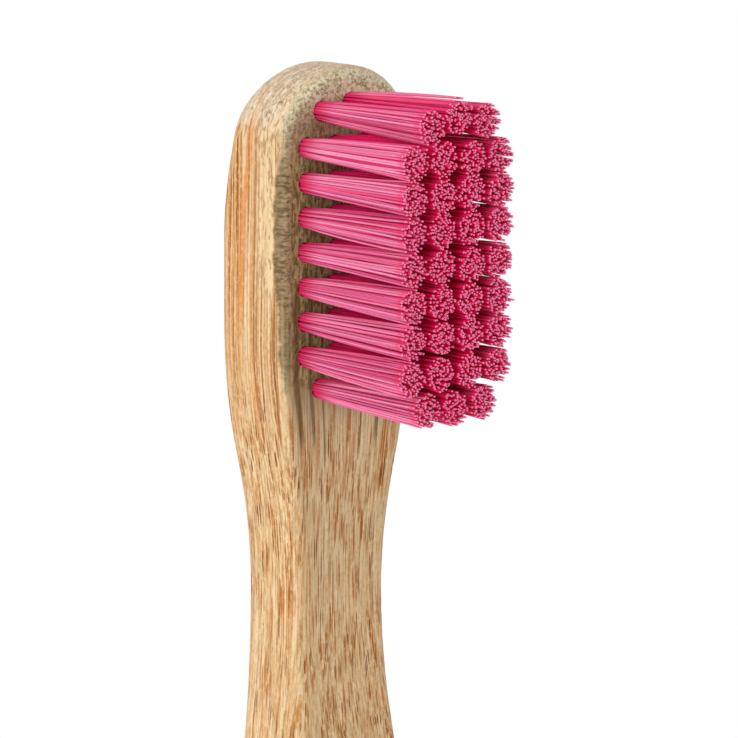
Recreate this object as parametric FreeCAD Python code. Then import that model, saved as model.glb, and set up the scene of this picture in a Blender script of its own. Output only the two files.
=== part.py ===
"""A manual toothbrush: a milled bamboo handle whose head carries nylon tufts on metal anchors.

Millimetres. The brush stands upright: +Z runs from the butt of the handle to the head, the bristles
point towards -Y, and the origin is in the middle of the butt end. Each tuft is a bundle folded double
over a flat anchor, which is driven into a blind hole and bites into the wood on both sides of it.
"""
import math
import os

import FreeCAD
import Part

# Handle, milled from one flat strip of bamboo
overall_length = 190.0
grip_thickness = 7.9
grip_width = 13.4
butt_width = 11.8
neck_width = 8.65
neck_front_relief = 0.5
neck_back_relief = 0.7
neck_to_grip_length = 34.0
neck_to_thumb_length = 20.0
neck_to_back_length = 50.0
waist_above_neck = 1.0
back_relief_above_face_end = 3.0
front_edge_radius = 0.9
back_edge_radius = 1.1

# Head, thinner than the grip on the bristle side
head_thickness = 6.9
head_tip_thickness = 4.6
head_ramp_length = 12.0
head_end_round_length = 5.2
head_end_front_radius = 1.6
head_end_back_radius = 1.6
head_to_neck_length = 20.5
edge_margin = 1.5
first_row_from_top = 3.0
drawn_in_rows = 2.0

# Pattern of the tufts
row_count = 9
row_pitch = 2.45
column_pitch = 2.69
full_row_tufts = 4
end_row_tufts = 3
top_row_bow = 0.44
bottom_row_bow = 0.11

# Holes, tufts and anchors
hole_diameter = 1.5
hole_back_wall = 2.7
bundle_sides = 10
tuft_clearance = 0.05
tuft_floor_gap = 0.15
trim_height = 11.15
tip_gap = 0.15
tip_crown_height = 0.25
tip_crown_radius = 0.8
anchor_thickness = 0.25
anchor_height = 1.2
anchor_bite = 0.25

# Shares that keep the shapes sound
ramp_overrun = 1.1
most_of_a_wall = 0.45

# Sizes that follow from the ones above
back_y = grip_thickness / 2
grip_front_y = -grip_thickness / 2
butt_round_length = butt_width / 2
face_y = back_y - head_thickness
hole_radius = hole_diameter / 2
hole_depth = head_thickness - hole_back_wall
root_radius = hole_radius - tuft_clearance
tip_radius = (min(row_pitch, column_pitch) - tip_gap) / 2
embedded_length = hole_depth - tuft_floor_gap
anchor_width = hole_diameter + 2 * anchor_bite
anchor_bottom_depth = embedded_length - root_radius
head_width = (full_row_tufts - 1) * column_pitch + hole_diameter + 2 * edge_margin
first_row_z = overall_length - first_row_from_top
last_row_z = first_row_z - (row_count - 1) * row_pitch
face_end_z = last_row_z - bottom_row_bow - hole_diameter
drawn_in_z = last_row_z + drawn_in_rows * row_pitch
neck_z = drawn_in_z - head_to_neck_length
grip_z = neck_z - neck_to_grip_length
thumb_z = neck_z - neck_to_thumb_length
flat_back_z = neck_z - neck_to_back_length
waist_z = neck_z + waist_above_neck
back_relief_z = face_end_z + back_relief_above_face_end


def point(x, y, z):
    return FreeCAD.Vector(x, y, z)


def s_bends(points):
    """Two equal arcs from each point to the next, which run along the handle at every point."""
    arcs = []
    for start, end in zip(points, points[1:]):
        middle = (start + end) / 2
        across = point(middle.x - start.x, middle.y - start.y, 0)
        along = point(0, 0, middle.z - start.z)
        radius = (across.Length ** 2 + along.Length ** 2) / (2 * across.Length)
        half_turn = math.asin(along.Length / radius) / 2
        sideways = across.normalize() * radius * (1 - math.cos(half_turn))
        onwards = along.normalize() * radius * math.sin(half_turn)
        arcs.append(Part.Arc(start, start + sideways + onwards, middle).toShape())
        arcs.append(Part.Arc(middle, end - sideways - onwards, end).toShape())
    return arcs


def head_end():
    """Two quarter ellipses, from one side of the head to its tip and on to the other side."""
    side_z = overall_length - head_end_round_length
    tip = point(0, 0, overall_length)
    ellipse = Part.Ellipse(point(head_width / 2, 0, side_z), tip, point(0, 0, side_z))
    at_tip = ellipse.parameter(tip)
    quarter = math.pi / 2
    return [ellipse.toShape(at_tip - quarter, at_tip), ellipse.toShape(at_tip, at_tip + quarter)]


def plan_outline():
    """The handle seen from the bristle side: round head, slim neck, wide grip and round butt."""
    head_side_z = overall_length - head_end_round_length
    right = [
        point(head_width / 2, 0, drawn_in_z),
        point(neck_width / 2, 0, neck_z),
        point(grip_width / 2, 0, grip_z),
        point(butt_width / 2, 0, butt_round_length),
    ]
    left = [point(-corner.x, 0, corner.z) for corner in right]
    edges = [
        *head_end(),
        Part.makeLine(point(head_width / 2, 0, head_side_z), right[0]),
        *s_bends(right),
        Part.Arc(right[-1], point(0, 0, 0), left[-1]).toShape(),
        *s_bends(left),
        Part.makeLine(left[0], point(-head_width / 2, 0, head_side_z)),
    ]
    return Part.Wire(Part.__sortEdges__(edges))


def head_ramp():
    """The arc in which the back of the head comes forward to its thin tip, run on a little past it."""
    drop = head_thickness - head_tip_thickness
    radius = (head_ramp_length ** 2 + drop ** 2) / (2 * drop)
    start_z = overall_length - head_ramp_length
    tip_angle = math.asin(head_ramp_length / radius)
    ramp = []
    for angle in (0, tip_angle, ramp_overrun * tip_angle):
        ramp.append(point(0, back_y - radius * (1 - math.cos(angle)), start_z + radius * math.sin(angle)))
    return ramp


def side_outline():
    """The handle seen from its narrow side: flat at the grip, thin at the neck and at the head's tip.

    It runs past both ends of the handle, where the plan outline alone gives the shape.
    """
    ramp_start, ramp_tip, ramp_end = head_ramp()
    bottom_z = -grip_thickness
    front = [
        point(0, face_y, face_end_z),
        point(0, face_y + neck_front_relief, waist_z),
        point(0, grip_front_y, thumb_z),
    ]
    back = [
        point(0, back_y, back_relief_z),
        point(0, back_y - neck_back_relief, waist_z),
        point(0, back_y, flat_back_z),
    ]
    edges = [
        Part.makeLine(point(0, face_y, ramp_end.z), front[0]),
        *s_bends(front),
        Part.makeLine(front[-1], point(0, grip_front_y, bottom_z)),
        Part.makeLine(point(0, grip_front_y, bottom_z), point(0, back_y, bottom_z)),
        Part.makeLine(point(0, back_y, bottom_z), back[-1]),
        *s_bends(back),
        Part.makeLine(back[0], ramp_start),
        Part.Arc(ramp_start, ramp_tip, ramp_end).toShape(),
        Part.makeLine(ramp_end, point(0, face_y, ramp_end.z)),
    ]
    return Part.Wire(Part.__sortEdges__(edges))


def rounding_radius(place):
    """How far the rim is rounded over at a point of it: more at the tip of the head than elsewhere."""
    front = place.y < 0
    if place.z > overall_length - head_end_round_length / 2:
        radius = head_end_front_radius if front else head_end_back_radius
        wall = head_tip_thickness
    else:
        radius = front_edge_radius if front else back_edge_radius
        wall = head_thickness - neck_front_relief - neck_back_relief
    return min(radius, most_of_a_wall * wall)


def rounded_over(solid):
    """The solid with the rims of its two broad faces rounded over.

    Left alone are the edges between two smooth stretches, which run straight across the handle.
    """
    roundings = []
    for number, edge in enumerate(solid.Edges, start=1):
        first, last = edge.ParameterRange
        direction = edge.tangentAt((first + last) / 2)
        straight_across = edge.Curve.TypeId == "Part::GeomLine" and abs(direction.z) < 0.5
        if not straight_across:
            ends = [rounding_radius(edge.valueAt(first)), rounding_radius(edge.valueAt(last))]
            roundings.append((number, *ends))
    document = FreeCAD.newDocument("handle")
    blank = document.addObject("Part::Feature", "blank")
    blank.Shape = solid
    rounded = document.addObject("Part::Fillet", "rounded")
    rounded.Base = blank
    rounded.Edges = roundings
    document.recompute()
    shape = rounded.Shape.Solids[0]
    FreeCAD.closeDocument("handle")
    return shape


def handle_blank():
    """The strip cut to its plan and side outlines, with its edges rounded over."""
    plan_face = Part.Face(plan_outline())
    plan_face.translate(point(0, -grip_thickness, 0))
    plan = plan_face.extrude(point(0, 2 * grip_thickness, 0))
    reach = max(head_width, neck_width, grip_width, butt_width)
    side_face = Part.Face(side_outline())
    side_face.translate(point(-reach, 0, 0))
    side = side_face.extrude(point(2 * reach, 0, 0))
    return rounded_over(plan.common(side).Solids[0])


def tuft_places():
    """Row, column, x and z of every tuft: short bowed rows at both ends, full rows between them."""
    places = []
    for row in range(1, row_count + 1):
        row_z = first_row_z - (row - 1) * row_pitch
        end_row = row in (1, row_count)
        count = end_row_tufts if end_row else full_row_tufts
        for column in range(1, count + 1):
            steps = column - (count + 1) / 2
            bow = 0
            if end_row and steps == 0:
                bow = top_row_bow if row == 1 else -bottom_row_bow
            places.append((row, column, steps * column_pitch, row_z + bow))
    return places


def into_wood(depth):
    """The y of a depth below the bristle face; a negative depth lies outside the wood."""
    return face_y + depth


def bundle_solid(stations):
    """A many-sided solid along the axis of a tuft, through stations of radius and depth in the wood."""
    rings = []
    for radius, depth in stations:
        ring = []
        for side in range(bundle_sides):
            angle = (side + 0.5) * 2 * math.pi / bundle_sides
            ring.append(point(radius * math.cos(angle), into_wood(depth), radius * math.sin(angle)))
        rings.append(ring)
    outlines = [rings[0], rings[-1]]
    for lower, upper in zip(rings, rings[1:]):
        for side in range(bundle_sides):
            after = (side + 1) % bundle_sides
            outlines.append([lower[side], lower[after], upper[after], upper[side]])
    faces = [Part.Face(Part.makePolygon([*outline, outline[0]])) for outline in outlines]
    return Part.Solid(Part.Shell(faces))


def tuft_hole():
    """A blind hole, open at the bristle face."""
    return bundle_solid([(hole_radius, hole_depth), (hole_radius, -hole_radius)])


def anchor():
    """A flat slip of metal across the hole, wider than it, lying in the fold of the tuft."""
    corner = point(-anchor_width / 2, into_wood(anchor_bottom_depth - anchor_height), -anchor_thickness / 2)
    return Part.makeBox(anchor_width, anchor_height, anchor_thickness, corner)


def tuft():
    """A bundle folded round its anchor in the hole, which spreads to a trimmed and crowned tip."""
    bundle = bundle_solid([
        (root_radius, embedded_length),
        (root_radius, 0),
        (tip_radius, tip_crown_height - trim_height),
        (tip_crown_radius, -trim_height),
    ])
    return bundle.cut(anchor()).Solids[0]


def moved(shape, x, z):
    copy = shape.copy()
    copy.translate(point(x, 0, z))
    return copy


def main():
    os.makedirs("parts", exist_ok=True)
    places = tuft_places()
    hole = tuft_hole()
    slip = anchor()
    bundle = tuft()
    cuts = [moved(cut, x, z) for row, column, x, z in places for cut in (hole, slip)]
    handle = handle_blank().cut(cuts).Solids[0]
    handle.exportStep("parts/handle.step")
    for row, column, x, z in places:
        moved(bundle, x, z).exportStep(f"parts/tuft_row{row}_{column}.step")
    for row in range(1, row_count + 1):
        slips = [moved(slip, x, z) for in_row, column, x, z in places if in_row == row]
        Part.makeCompound(slips).exportStep(f"parts/anchors_row{row}.step")
    print("handle", round(handle.Volume, 1), "mm3, tuft", round(bundle.Volume, 2), "mm3")


main()
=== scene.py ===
"""A bamboo toothbrush with pink nylon tufts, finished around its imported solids. Metres."""
import math
import random

import bpy
import numpy as np
from mathutils import Matrix, Vector


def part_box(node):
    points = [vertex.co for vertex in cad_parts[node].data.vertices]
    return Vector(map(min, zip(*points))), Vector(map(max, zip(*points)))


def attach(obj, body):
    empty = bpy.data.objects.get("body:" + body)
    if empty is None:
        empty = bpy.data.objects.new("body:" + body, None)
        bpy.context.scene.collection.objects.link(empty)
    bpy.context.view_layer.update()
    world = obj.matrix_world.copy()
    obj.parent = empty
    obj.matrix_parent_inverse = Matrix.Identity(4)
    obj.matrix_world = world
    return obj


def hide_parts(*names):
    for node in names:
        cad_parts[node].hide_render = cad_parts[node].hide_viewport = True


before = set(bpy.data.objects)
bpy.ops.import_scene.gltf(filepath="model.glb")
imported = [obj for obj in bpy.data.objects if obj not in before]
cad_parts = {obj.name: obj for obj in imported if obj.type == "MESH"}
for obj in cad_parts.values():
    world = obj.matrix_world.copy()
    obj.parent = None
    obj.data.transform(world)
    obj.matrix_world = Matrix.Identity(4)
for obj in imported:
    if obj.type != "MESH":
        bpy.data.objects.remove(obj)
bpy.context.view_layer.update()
bpy.ops.object.select_all(action="DESELECT")


# The handle is one strip of bamboo, milled to its outline, sanded and left bare. Its fibre bundles
# run from the butt to the head: long streaks on the sides, short dashes where the neck cuts across
# them at a slant, and dots on the end of the head.
class Shade:
    """A shader value that takes Python arithmetic: each operation adds a Math node to its tree."""

    def __init__(self, tree, socket=None):
        self.tree = tree
        self.socket = socket

    def node(self, kind, settings=None, inputs=None, output=0):
        """A new node's output. Its settings are made first, then its sockets are set or linked."""
        made = self.tree.nodes.new(kind)
        for name, setting in (settings or {}).items():
            setattr(made, name, setting)
        for name, value in (inputs or {}).items():
            if isinstance(value, Shade):
                self.tree.links.new(value.socket, made.inputs[name])
            else:
                made.inputs[name].default_value = value
        return Shade(self.tree, made.outputs[output])

    def maths(self, operation, *values):
        return self.node("ShaderNodeMath", {"operation": operation}, dict(enumerate(values)))

    def __add__(self, other):
        return self.maths("ADD", self, other)

    def __radd__(self, other):
        return self.maths("ADD", other, self)

    def __sub__(self, other):
        return self.maths("SUBTRACT", self, other)

    def __rsub__(self, other):
        return self.maths("SUBTRACT", other, self)

    def __mul__(self, other):
        return self.maths("MULTIPLY", self, other)

    def __rmul__(self, other):
        return self.maths("MULTIPLY", other, self)

    def __abs__(self):
        return self.maths("ABSOLUTE", self)

    def ramp(self, low, high):
        """0 below low and 1 above high, with a soft step between; high may be the smaller one."""
        inputs = {"Value": self, "From Min": low, "From Max": high}
        return self.node("ShaderNodeMapRange", {"interpolation_type": "SMOOTHSTEP"}, inputs)

    def blend(self, first, second):
        """A colour that goes from first to second as this value goes from 0 to 1."""
        return self.node("ShaderNodeMix", {"data_type": "RGBA"}, {0: self, 6: first, 7: second}, 2)

    def scaled(self, x, y, z):
        """This vector with each part multiplied."""
        return self.node("ShaderNodeVectorMath", {"operation": "MULTIPLY"}, {0: self, 1: (x, y, z)})

    def parts(self):
        """The three numbers of this vector."""
        first = self.node("ShaderNodeSeparateXYZ", None, {"Vector": self})
        return [Shade(self.tree, socket) for socket in first.socket.node.outputs]

    def noise(self, detail=2.0, roughness=0.5, distortion=0.0):
        """Soft noise at this place, about 0 to 1."""
        inputs = {"Vector": self, "Scale": 1.0, "Detail": detail, "Roughness": roughness,
                  "Distortion": distortion}
        return self.node("ShaderNodeTexNoise", None, inputs)

    def cells(self, dimensions="3D"):
        """Distance to the nearest of some strewn points, and two random numbers of that point."""
        distance = self.node("ShaderNodeTexVoronoi", {"voronoi_dimensions": dimensions},
                             {"Vector": self, "Scale": 1.0})
        colour = Shade(self.tree, distance.socket.node.outputs["Color"])
        size, strength, _ = colour.parts()
        return distance, size, strength


def srgb(red, green, blue):
    """A colour written as a screen shows it, in the linear numbers that a shader takes."""
    parts = []
    for part in (red, green, blue):
        part = part / 255
        parts.append(part / 12.92 if part <= 0.04045 else ((part + 0.055) / 1.055) ** 2.4)
    return (*parts, 1.0)


def new_material(name):
    """A material, its Principled shader and a Shade to start its maths from."""
    material = bpy.data.materials.new(name)
    material.use_nodes = True
    return material, material.node_tree.nodes["Principled BSDF"], Shade(material.node_tree)


def connect(value, shader, socket):
    value.tree.links.new(value.socket, shader.inputs[socket])


bamboo, bamboo_shader, start = new_material("bamboo")
cream = srgb(246, 218, 173)
tan = srgb(216, 177, 124)
amber = srgb(228, 164, 92)
orange = srgb(216, 144, 74)
layer_orange = srgb(226, 140, 70)
russet = srgb(174, 101, 32)
brown = srgb(108, 70, 36)
slit_brown = srgb(128, 64, 14)
pale_cream = srgb(248, 218, 168)
band_grey = srgb(226, 198, 150)
end_cream = srgb(242, 226, 202)
end_tan = srgb(208, 184, 154)
pore_brown = srgb(126, 92, 56)
fleck_brown = srgb(166, 116, 72)
fuzz_light = srgb(182, 160, 120)
fuzz_and_shade_dark = srgb(96, 78, 48)
furrow_olive = srgb(104, 84, 46)
top_light = srgb(248, 238, 204)
top_dark = srgb(156, 144, 98)
planed_grey = srgb(216, 204, 160)
shaded_olive_light = srgb(206, 204, 140)
shaded_olive_dark = srgb(108, 105, 52)

# Heights above the butt, in millimetres: where the top rounds over, the fuzz on the front ends, the
# head has its full width, the tufts end, the front starts to slope, the neck is thinnest and
# narrowest, and the grip has its full size.
crown_start = 184.5
fuzz_foot = 172.5
head_full = 172.3
field_foot = 166.0
slope_start = 165.8
neck_thinnest = 152.8
neck_narrowest = 151.8
grip_full = 131.8

# Places from front to back, in millimetres: the front and back of the head, the orange layer, and
# the steps across the rounded front edge.
head_face = -2.95
back_face = 3.95
layer_depth = 1.2
pale_edge_start = -1.45
groove_depth = -1.55
pale_edge_full = -1.85
dark_front_start = -1.9
dark_front_full = -2.25

# The grain has its own coordinates: it sways, draws together at the neck and is cut at a slant there.
place = start.node("ShaderNodeTexCoord", None, None, "Object")
millimetres = place.scaled(1000, 1000, 1000)
across, deep, height = millimetres.parts()
sway_across = millimetres.scaled(0.12, 0.12, 0.022).noise() - 0.5
sway_deep = millimetres.scaled(0.15, 0.15, 0.05).noise() - 0.5
drawn_in = 1 + height.ramp(head_full, neck_narrowest) * 0.25
drawn_in = drawn_in - height.ramp(neck_narrowest, grip_full) * 0.32
run = height * 0.04 + height.ramp(120, 168) * 7.0 - 4.0
grain = start.node("ShaderNodeCombineXYZ", None, {"X": across * drawn_in + sway_across * 1.6,
                                                  "Y": deep + sway_deep * 0.8, "Z": run})

# The regions: the head, its end grain and upper front, the dull front with painted shade, and the
# lighter sides.
ragged = millimetres.scaled(0.9, 0.9, 1.3).noise(3.0, 0.6) - 0.5
head = height.ramp(field_foot - 3, field_foot + 4)
end_grain = (height + ragged * 3.0).ramp(crown_start + 0.1, crown_start + 2.9)
rounding_start = deep - height.ramp(slope_start, neck_thinnest) * 0.5
rounding_start = rounding_start + height.ramp(neck_thinnest, grip_full) * 1.5
edge_depth = rounding_start + height.ramp(fuzz_foot + 3.5, fuzz_foot + 0.5) * 0.4
edge_depth = edge_depth + height.ramp(field_foot + 5, field_foot) * 0.3
edge_depth = edge_depth + height.ramp(crown_start - 4, crown_start) * 0.45
edge_depth = edge_depth + height.ramp(160, 155) * 0.1
upper = (height + ragged * 2.0).ramp(crown_start - 1.5, crown_start + 4)
front_edge_depth = edge_depth + ragged * (0.25 + head * 0.55)
front = front_edge_depth.ramp(upper * 0.2 + dark_front_start, dark_front_full - upper * 0.2)
side = 1 - front
pale_side = height.ramp(fuzz_foot, fuzz_foot + 3.5) * deep.ramp(0.4, -1.0) * side

# The marks in the wood. Each furrow below the tufts has a middle, a half width and a foot.
bundle_distance, bundle_size, bundle_strength = grain.scaled(2.7, 2.7, 1.0).cells()
bundle_reach = bundle_distance + bundle_size * 0.12
halo = bundle_reach.ramp(0.50, 0.44) * bundle_strength.ramp(0.05, 0.4)
core = bundle_reach.ramp(0.34, 0.30) * bundle_strength.ramp(0.25, 0.5)
fibre_distance, fibre_size, fibre_strength = grain.scaled(4.8, 4.8, 1.2).cells()
fibres = (fibre_distance + fibre_size * 0.12).ramp(0.48, 0.44) * fibre_strength.ramp(0.1, 0.5)
slit_distance, slit_size, slit_strength = grain.scaled(5.0, 5.0, 0.9).cells()
slits = (slit_distance + slit_size * 0.05).ramp(0.35, 0.30) * slit_strength.ramp(0.45, 0.6)
below_field = height.maths("MAXIMUM", field_foot + 2 - height, 0.0)
tapered = across * (1 + below_field * 0.035)
furrows = 0.0
for middle, half_width, foot in ((-4.88, 0.40, 162.6), (-3.58, 0.24, 162.4), (-2.5, 0.14, 160.5),
                                 (1.4, 0.14, 161.5), (3.1, 0.3, 162.0), (4.6, 0.2, 163.0)):
    beside = abs(tapered - middle)
    furrows = beside.ramp(half_width, half_width * 0.4) * height.ramp(foot, foot + 2.0) + furrows
dot_distance, dot_size, dot_strength = grain.scaled(3.2, 3.2, 0.0).cells("2D")
dots = (dot_distance + dot_size * 0.2).ramp(0.40, 0.20) * dot_strength.ramp(0.1, 0.9)
flecks = millimetres.scaled(5.0, 5.0, 1.4).noise(2.0, 0.6)
pores = flecks.ramp(0.53, 0.63)
bands = grain.scaled(0.9, 0.9, 0.3).noise().ramp(0.5, 0.56)
stripes = grain.scaled(2.4, 2.4, 0.7).noise(2.0, 0.6).ramp(0.46, 0.58)
from_layer = deep - layer_depth + height.ramp(crown_start - 6.5, crown_start + 1.5) * 0.75
from_layer = abs(from_layer + sway_deep * 0.5)
orange_layer = from_layer.ramp(0.36, 0.22) * height.ramp(fuzz_foot - 2, fuzz_foot + 2)
layered = grain.scaled(0.25, 4.8, 0.35).noise(2.0, 0.65)
dark_lines = layered.ramp(0.56, 0.60)
dark_seams = layered.ramp(0.62, 0.65)
light_lines = layered.ramp(0.44, 0.38)
patches = grain.scaled(0.5, 0.5, 0.8).noise(3.0, 0.6)
clusters = grain.scaled(1.1, 1.1, 0.9).noise(2.0, 0.55).ramp(0.40, 0.52)
mottle = grain.scaled(6.5, 6.5, 2.0).noise(4.0, 0.7)
lines = grain.scaled(8.0, 8.0, 0.5).noise(2.0, 0.6)
specks = millimetres.scaled(4.5, 4.5, 2.2).noise(3.0, 0.65)
layers = millimetres.scaled(1.2, 4.0, 1.2).noise(3.0, 0.65)
fuzz = millimetres.scaled(1.9, 1.9, 5.0).noise(2.0, 0.55, 0.5)
ridges = millimetres.scaled(2.6, 2.6, 0.12).noise(2.0, 0.6)
bruises = millimetres.scaled(5.0, 5.0, 1.6).noise(2.0, 0.6)
grit = millimetres.scaled(3.6, 3.6, 3.6).noise(4.0, 0.75)
from_groove = abs(edge_depth - groove_depth + ragged * 0.2)
groove = from_groove.ramp(0.15, 0.05) * height.ramp(fuzz_foot + 2.5, fuzz_foot)
groove = groove * height.ramp(field_foot - 3, field_foot + 1)

# The ground colour: plain wood, end grain, worn edges with a painted highlight, and the dull wood
# of the head's front with painted shade.
wood = (patches.ramp(0.38, 0.62) * 0.35 + mottle.ramp(0.36, 0.60) * 0.65).blend(tan, cream)
wood = end_grain.blend(wood, layers.ramp(0.36, 0.62).blend(end_tan, end_cream))
# Worn edges are lightened, more on the neck: wear, and a painted highlight on the rounded edge.
worn_and_lit_edge = edge_depth.ramp(pale_edge_start, pale_edge_full) * side
wood = (worn_and_lit_edge * (0.55 - head * 0.25)).blend(wood, pale_cream)
# The front is darker: partly dull, fuzzy wood, partly painted shade from the tufts that stand on it.
dull_and_shaded = front * (height.ramp(field_foot - 5, field_foot + 1) * 0.5 + height.ramp(147, 159) * 0.45)
furry = height.ramp(fuzz_foot - 1, fuzz_foot + 2.5) * 0.5
furry = furry + height.ramp(field_foot - 1, field_foot + 4) * 0.5
ridged = height.ramp(fuzz_foot + 3, fuzz_foot) * 0.9
lightness = (fuzz.ramp(0.34, 0.66) - 0.5) * furry + (ridges.ramp(0.36, 0.64) - 0.5) * ridged + 0.5
dull_and_shaded_wood = lightness.blend(fuzz_and_shade_dark, fuzz_light)
# Painted shade: the outer part of the rounded edge, which the key lamp lights most, is darkened.
dull_and_shaded_wood = (deep.ramp(head_face, head_face + 0.45) * 0.45).blend(dull_and_shaded_wood, fuzz_and_shade_dark)
planed = height.ramp(fuzz_foot + 2.5, fuzz_foot - 0.5) * 0.1
planed = planed + height.ramp(field_foot + 4, field_foot - 2) * 0.9
dull_and_shaded_wood = planed.blend(dull_and_shaded_wood, planed_grey)
dull_and_shaded_wood = upper.blend(dull_and_shaded_wood, grit.ramp(0.39, 0.57).blend(top_dark, top_light))
# Painted shade between the tufts: the wood is darkened to olive, greened against their pink light.
shade_among_tufts = abs(across).ramp(5.8, 5.0) * height.ramp(field_foot + 0.5, field_foot + 2.5)
shaded_olive = bruises.ramp(0.40, 0.60).blend(shaded_olive_dark, shaded_olive_light)
dull_and_shaded_wood = (shade_among_tufts * (0.7 - upper * 0.6)).blend(dull_and_shaded_wood, shaded_olive)
dull_and_shaded_wood = (upper * deep.ramp(head_face, head_face + 0.55) * 0.4).blend(dull_and_shaded_wood, end_tan)
wood = dull_and_shaded.blend(wood, dull_and_shaded_wood)
planed_band = front * (across + ragged * 0.8).ramp(-2.0, -2.7) * height.ramp(161.5, 158.5)
wood = (planed_band * 0.55).blend(wood, band_grey)
low_right = front * across.ramp(-1.5, 3.0) * height.ramp(156, 146)
wood = (low_right * 0.4).blend(wood, tan)

# The marks are laid over the ground, each where the wood shows it.
along_grain = 1 - end_grain * 0.8
streaked = (1 - pale_side * 0.7) * (1 - dull_and_shaded * (0.3 + head * 0.7)) * (1 - worn_and_lit_edge * 0.15)
streaked = streaked * along_grain * (1 - planed_band * 0.4)
sparse = side * height.ramp(153, 147) * height.ramp(136, 142)
stroked = streaked * (0.35 + clusters * 0.85) * (1 - sparse * 0.35)
inner_side = side * deep.ramp(back_face - 0.45, back_face - 1.05) * (0.3 + head * 0.7) * along_grain
below_fuzz = front * height.ramp(fuzz_foot + 3, fuzz_foot + 1)
wood = (bands * streaked * (0.15 + head * 0.3)).blend(wood, amber)
wood = (stripes * streaked * 0.15).blend(wood, russet)
wood = (light_lines * inner_side * 0.5).blend(wood, cream)
wood = (halo * streaked * 0.6).blend(wood, orange)
wood = (fibres * stroked * (0.95 - side * 0.23)).blend(wood, russet)
wood = (core * stroked * (0.9 - side * 0.15)).blend(wood, russet)
wood = (lines.ramp(0.50, 0.62) * stroked * (0.6 - side * 0.15)).blend(wood, russet)
wood = (lines.ramp(0.46, 0.36) * streaked * (0.75 - head * 0.2)).blend(wood, cream)
wood = (orange_layer * side * along_grain * 0.7).blend(wood, layer_orange)
wood = (slits * (stroked + planed_band * 0.5) * 0.95).blend(wood, slit_brown)
wood = (dark_lines * inner_side * (1 - pale_side * 0.5) * 0.6).blend(wood, orange)
wood = (dark_seams * inner_side * (1 - pale_side * 0.5) * 0.7).blend(wood, brown)
wood = (specks.ramp(0.53, 0.66) * streaked * 0.35).blend(wood, russet)
wood = (specks.ramp(0.47, 0.34) * streaked * 0.4).blend(wood, cream)
wood = (groove * side * 0.55).blend(wood, slit_brown)
wood = (furrows * below_fuzz * 0.7).blend(wood, furrow_olive)
wood = (dots * end_grain * side * 0.5).blend(wood, pore_brown)
wood = (flecks.ramp(0.48, 0.38) * pale_side * 0.5).blend(wood, pale_cream)
wood = (pores * pale_side * 0.6).blend(wood, fleck_brown)
connect(wood, bamboo_shader, "Base Color")
connect(0.5 + mottle * 0.2, bamboo_shader, "Roughness")
bamboo_shader.inputs["Specular IOR Level"].default_value = 0.2
hollows = fibres * 0.4 + core * 0.4 + slits * 0.5
hollows = hollows + pores * pale_side + dark_seams * inner_side * 0.7
rises = mottle * 0.6 + fuzz * dull_and_shaded * head * 2.0
relief = start.node("ShaderNodeBump", None,
                    {"Strength": 0.6, "Distance": 0.00008, "Height": rises - hollows})
connect(relief, bamboo_shader, "Normal")
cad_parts["handle"].material_slots[0].material = bamboo


# The anchors are flat slips of plain metal strip. One lies in the fold of each tuft, hidden in the
# head, where it is driven into the wood on both sides of the hole.
anchor_metal, anchor_shader, start = new_material("anchor_metal")
metal_dark = srgb(196, 197, 199)
metal_light = srgb(224, 225, 226)
anchor_place = start.node("ShaderNodeTexCoord", None, None, "Object")
drawn_lines = anchor_place.scaled(300, 9000, 9000).noise(3.0)
connect(drawn_lines.ramp(0.2, 0.8).blend(metal_dark, metal_light), anchor_shader, "Base Color")
connect(0.25 + drawn_lines * 0.2, anchor_shader, "Roughness")
anchor_shader.inputs["Metallic"].default_value = 1.0
for name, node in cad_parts.items():
    if name.startswith("anchors_row"):
        node.material_slots[0].material = anchor_metal


# The tufts are bundles of pink nylon filaments, folded double in their holes. They spread from the
# hole to the tip, where they are trimmed level and each end is rounded by grinding.
nylon, nylon_shader, start = new_material("nylon")
deep_pink = srgb(218, 82, 134)
pale_pink = srgb(252, 160, 198)
shaded_pink = srgb(250, 0, 106)
root_shade_pink = srgb(212, 20, 84)
tip_shade_pink = srgb(246, 0, 96)
ground_end_highlight_pink = srgb(255, 148, 192)
tone = start.node("ShaderNodeAttribute", {"attribute_name": "tone"}, None, "Fac")
along_filament = start.node("ShaderNodeAttribute", {"attribute_name": "along"}, None, "Fac")
painted_shade = start.node("ShaderNodeAttribute", {"attribute_name": "painted_shade"}, None, "Fac")
pink = tone.blend(deep_pink, pale_pink)
# Painted shade: filaments deep in the field or inside their bundle take a deep crimson.
pink = (painted_shade * 0.9).blend(pink, shaded_pink)
# Painted shade: the filaments turn deep crimson towards their roots.
pink = along_filament.ramp(0.37, 0.14).blend(pink, root_shade_pink)
# Painted shade: the sides just behind the ends are deepened, for the shade between the filaments.
pink = (along_filament.ramp(0.93, 0.98) * 0.4).blend(pink, tip_shade_pink)
# The ends are paler: partly frosted by grinding, partly a painted highlight.
pink = (along_filament.ramp(0.990, 0.998) * 0.95).blend(pink, ground_end_highlight_pink)
connect(pink, nylon_shader, "Base Color")
connect(0.32 + tone * 0.12, nylon_shader, "Roughness")
nylon_shader.inputs["Specular IOR Level"].default_value = 0.12

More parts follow.
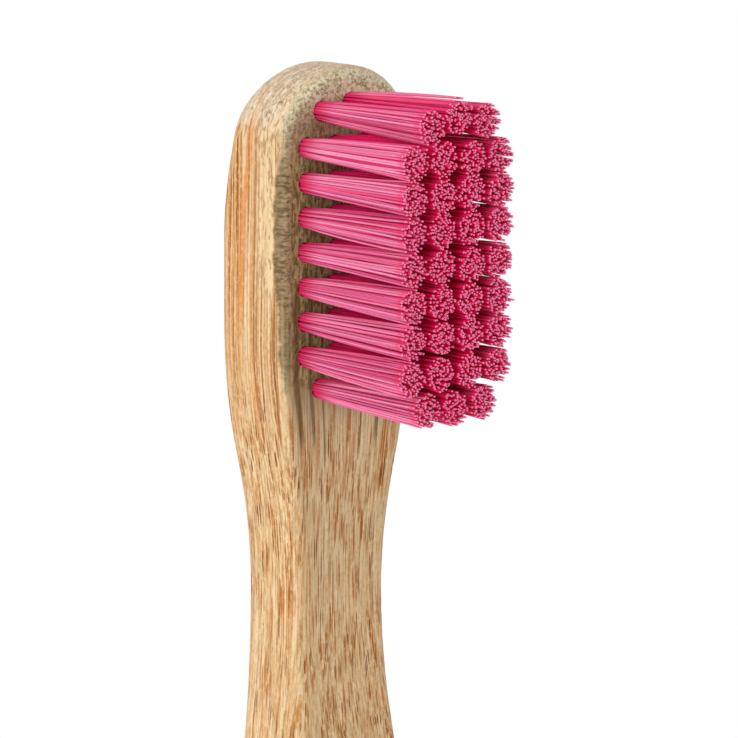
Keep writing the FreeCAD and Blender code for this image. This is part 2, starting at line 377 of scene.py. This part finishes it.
# Sizes are in metres: those of a filament and its bundle, then how unevenly the filaments stand and
# are cut, then how far inside the field or the bundle a filament is painted in shade.
head_thickness = 0.0069
filaments_in_tuft = 104
filament_radius = 0.000075
filament_sides = 6
filament_steps = 6
end_rounding = 0.65 * filament_radius
root_spread = 0.00066
tip_spread = 0.0012
flare_power = 0.8
strewn = 0.07
tuft_lean = 0.00004
first_tuft_lean = (0.00022, -0.0002)
tip_wander = 0.00005
bow = 0.00004
cut_short = 0.00007
cut_long = 0.00003
stray_share = 0.04
stray_least = 0.0001
stray_most = 0.0004
shade_depth = 0.0024
end_shade_margin = 0.0011
rim_share = 0.84
rim_fade = 0.12
inside_shade = 0.7
face_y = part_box("handle")[1].y - head_thickness
free_length = face_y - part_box("tuft_row1_1")[0].y
root_depth = free_length / (filament_steps - 1)
filament_length = root_depth + free_length

bpy.ops.mesh.primitive_cylinder_add(vertices=filament_sides, radius=filament_radius,
                                    depth=filament_length, location=(0, 0, filament_length / 2))
filament = bpy.context.object
bpy.ops.object.transform_apply(location=True, rotation=True, scale=True)
bpy.ops.object.mode_set(mode="EDIT")
bpy.ops.mesh.select_mode(type="EDGE")
bpy.ops.mesh.select_all(action="DESELECT")
bpy.ops.object.mode_set(mode="OBJECT")
for edge in filament.data.edges:
    heights = [filament.data.vertices[corner].co.z for corner in edge.vertices]
    edge.select = min(heights) > filament_length / 2
bpy.ops.object.mode_set(mode="EDIT")
bpy.ops.mesh.bevel(offset=end_rounding, segments=2, affect="EDGES")
bpy.ops.mesh.select_all(action="DESELECT")
bpy.ops.object.mode_set(mode="OBJECT")
for edge in filament.data.edges:
    ends = [filament.data.vertices[corner].co for corner in edge.vertices]
    edge.select = abs(ends[0].z - ends[1].z) > filament_length / 2
bpy.ops.object.mode_set(mode="EDIT")
bpy.ops.mesh.subdivide(number_cuts=filament_steps - 1)
bpy.ops.object.mode_set(mode="OBJECT")
bpy.ops.object.shade_smooth()

shape = np.array([corner.co for corner in filament.data.vertices])
along = shape[:, 2] / filament_length
seed = 11
chance = random.Random(seed)
golden_angle = math.pi * (3 - math.sqrt(5))


def filament_place(number):
    """Where a filament stands in its bundle: a spot in the disc, in shares of the bundle's radius."""
    radius = math.sqrt((number + 0.5) / filaments_in_tuft)
    angle = number * golden_angle
    spot_x = radius * math.cos(angle) + chance.gauss(0, strewn)
    spot_z = radius * math.sin(angle) + chance.gauss(0, strewn)
    beyond = max(1.0, math.hypot(spot_x, spot_z))
    return spot_x / beyond, spot_z / beyond


def set_values(mesh, name, values):
    """One number for each corner of the mesh, under that name, for the material to read."""
    layer = mesh.attributes.new(name, "FLOAT", "POINT")
    layer.data.foreach_set("value", np.broadcast_to(values, len(shape)).astype(np.float32))


def bent_filament(centre, lean, number, row_reach, field_low, field_high):
    """A copy of the filament, with its own mesh, on its way through the bundle at that centre."""
    spot_x, spot_z = filament_place(number)
    root_x = centre.x + root_spread * spot_x
    root_z = centre.z + root_spread * spot_z
    tip_x = centre.x + lean[0] + tip_spread * spot_x + chance.gauss(0, tip_wander)
    tip_z = centre.z + lean[1] + tip_spread * spot_z + chance.gauss(0, tip_wander)
    bow_x = chance.gauss(0, bow)
    bow_z = chance.gauss(0, bow)
    reach = filament_length + chance.uniform(-cut_short, cut_long)
    if chance.random() < stray_share:
        reach += chance.uniform(stray_least, stray_most)
    outside = np.clip((along * filament_length - root_depth) / free_length, 0, 1)
    spread = outside ** flare_power
    belly = 4 * outside * (1 - outside)
    places = np.empty_like(shape)
    places[:, 0] = root_x + (tip_x - root_x) * spread + bow_x * belly + shape[:, 0]
    places[:, 1] = face_y + root_depth - reach * along
    places[:, 2] = root_z + (tip_z - root_z) * spread + bow_z * belly + shape[:, 1]
    mesh = filament.data.copy()
    mesh.vertices.foreach_set("co", places.ravel())
    # Painted shade: the deeper a filament stands in the field or inside its bundle, the more it
    # takes.
    above = field_high - tip_z + end_shade_margin
    below = tip_z - field_low + end_shade_margin
    from_outside = min(row_reach - abs(tip_x), above, below)
    field_shade = min(1.0, max(0.0, from_outside / shade_depth))
    inside = min(1.0, max(0.0, (rim_share - math.hypot(spot_x, spot_z)) / rim_fade))
    set_values(mesh, "tone", chance.random())
    set_values(mesh, "painted_shade", max(field_shade, inside * inside_shade))
    set_values(mesh, "along", along)
    copy = bpy.data.objects.new("filament", mesh)
    bpy.context.collection.objects.link(copy)
    return copy


tuft_names = sorted(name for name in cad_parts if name.startswith("tuft_row"))
row_reaches = {}
for name in tuft_names:
    row = name.split("_")[1]
    row_reaches[row] = max(row_reaches.get(row, 0.0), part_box(name)[1].x)
field_low = min(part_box(name)[0].z for name in tuft_names)
field_high = max(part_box(name)[1].z for name in tuft_names)
for name in tuft_names:
    low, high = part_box(name)
    row_reach = row_reaches[name.split("_")[1]]
    lean = chance.gauss(0, tuft_lean), chance.gauss(0, tuft_lean)
    if name == "tuft_row1_1":
        lean = first_tuft_lean
    bpy.ops.object.select_all(action="DESELECT")
    for number in range(filaments_in_tuft):
        bundle = bent_filament((low + high) / 2, lean, number, row_reach, field_low, field_high)
        bundle.select_set(True)
    bpy.context.view_layer.objects.active = bundle
    bpy.ops.object.join()
    bundle.name = name.replace("tuft", "bristles")
    bundle.data.name = bundle.name
    bundle.data.materials.append(nylon)
    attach(bundle, "root")
    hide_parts(name)
bpy.data.objects.remove(filament)


# The stage is a pale floor under the butt, which fades to plain white round about, with soft lamps
# to the left, to the front right and above, and a white surround.
floor_radius = 4.0
floor_sides = 96
fade_start = 0.12
fade_end = 0.42
ambient_strength = 0.27
pure_white = (1, 1, 1, 1)
bpy.ops.object.select_all(action="DESELECT")
bpy.ops.mesh.primitive_circle_add(vertices=floor_sides, radius=floor_radius, fill_type="NGON",
                                  location=(0, 0, 0))
floor = bpy.context.object
floor.name = "floor"
floor_paint, floor_shader, start = new_material("floor_paint")
floor_shader.inputs["Base Color"].default_value = srgb(236, 236, 234)
floor_shader.inputs["Roughness"].default_value = 0.8
floor_place = start.node("ShaderNodeTexCoord", None, None, "Object")
from_butt = start.node("ShaderNodeVectorMath", {"operation": "LENGTH"}, {0: floor_place}, "Value")


def seen_directly(tree):
    """1 for what the camera sees by itself, in a reflection or through glass, and 0 otherwise."""
    path = tree.nodes.new("ShaderNodeLightPath")
    straight, mirrored, through = [Shade(tree, path.outputs[name]) for name in
                                   ("Is Camera Ray", "Is Glossy Ray", "Is Transmission Ray")]
    return straight.maths("MAXIMUM", straight.maths("MAXIMUM", straight, mirrored), through)


white_out = from_butt.ramp(fade_start, fade_end) * seen_directly(start.tree)
white = start.node("ShaderNodeEmission", None, {"Color": pure_white, "Strength": 1.0})
paint = Shade(start.tree, floor_shader.outputs[0])
surface = start.node("ShaderNodeMixShader", None, {0: white_out, 1: paint, 2: white})
connect(surface, start.tree.nodes["Material Output"], "Surface")
floor.data.materials.append(floor_paint)

world = bpy.data.worlds.new("studio")
bpy.context.scene.world = world
world.use_nodes = True
sky = Shade(world.node_tree)
ambient = sky.node("ShaderNodeBackground", None, {"Color": pure_white, "Strength": ambient_strength})
backdrop = sky.node("ShaderNodeBackground", None, {"Color": pure_white, "Strength": 1.0})
shown = sky.node("ShaderNodeMixShader", None, {0: seen_directly(sky.tree), 1: ambient, 2: backdrop})
connect(shown, world.node_tree.nodes["World Output"], "Surface")

middle_height = 0.1772
head_middle = Vector((0, face_y, middle_height))


def lamp(name, direction, distance, size, watts):
    """A square soft light that faces the middle of the head from that direction."""
    light = bpy.data.lights.new(name, "AREA")
    light.size = size
    light.energy = watts
    holder = bpy.data.objects.new(name, light)
    towards = Vector(direction).normalized()
    holder.location = head_middle + distance * towards
    holder.rotation_euler = towards.to_track_quat("Z", "Y").to_euler()
    bpy.context.collection.objects.link(holder)


lamp("key", (-1.0, -0.2, 0.25), distance=0.8, size=0.5, watts=4.5)
lamp("fill", (0.75, -0.75, 0.3), distance=0.9, size=0.6, watts=2.25)
lamp("top", (-0.1, 0.1, 1.0), distance=0.7, size=0.5, watts=1.3)


# The camera stands where the photograph was taken from: left of the bristles and a little above the
# head, with a long lens.
turned = math.radians(-42.10)
raised = math.radians(10.62)
leaned = math.radians(0.52)
camera_distance = 0.2483
aim_right = 0.00140
aim_below = 0.00859
focal_pixels = 3524
frame_pixels = 738
lens_in_frames = focal_pixels / frame_pixels
outwards = Vector((math.sin(turned), -math.cos(turned), 0))
back = math.cos(raised) * outwards + math.sin(raised) * Vector((0, 0, 1))
level = Vector((math.cos(turned), math.sin(turned), 0))
upright = back.cross(level)
right = math.cos(leaned) * level + math.sin(leaned) * upright
up = math.cos(leaned) * upright - math.sin(leaned) * level
camera_data = bpy.data.cameras.new("camera")
camera_data.sensor_width = 36.0
camera_data.lens = camera_data.sensor_width * lens_in_frames
camera_data.clip_start = 0.01
camera = bpy.data.objects.new("camera", camera_data)
bpy.context.collection.objects.link(camera)
spot = head_middle + aim_right * right - aim_below * up + camera_distance * back
camera.matrix_world = Matrix.Translation(spot) @ Matrix((right, up, back)).transposed().to_4x4()
bpy.context.scene.camera = camera
bpy.context.scene.view_settings.view_transform = "Standard"
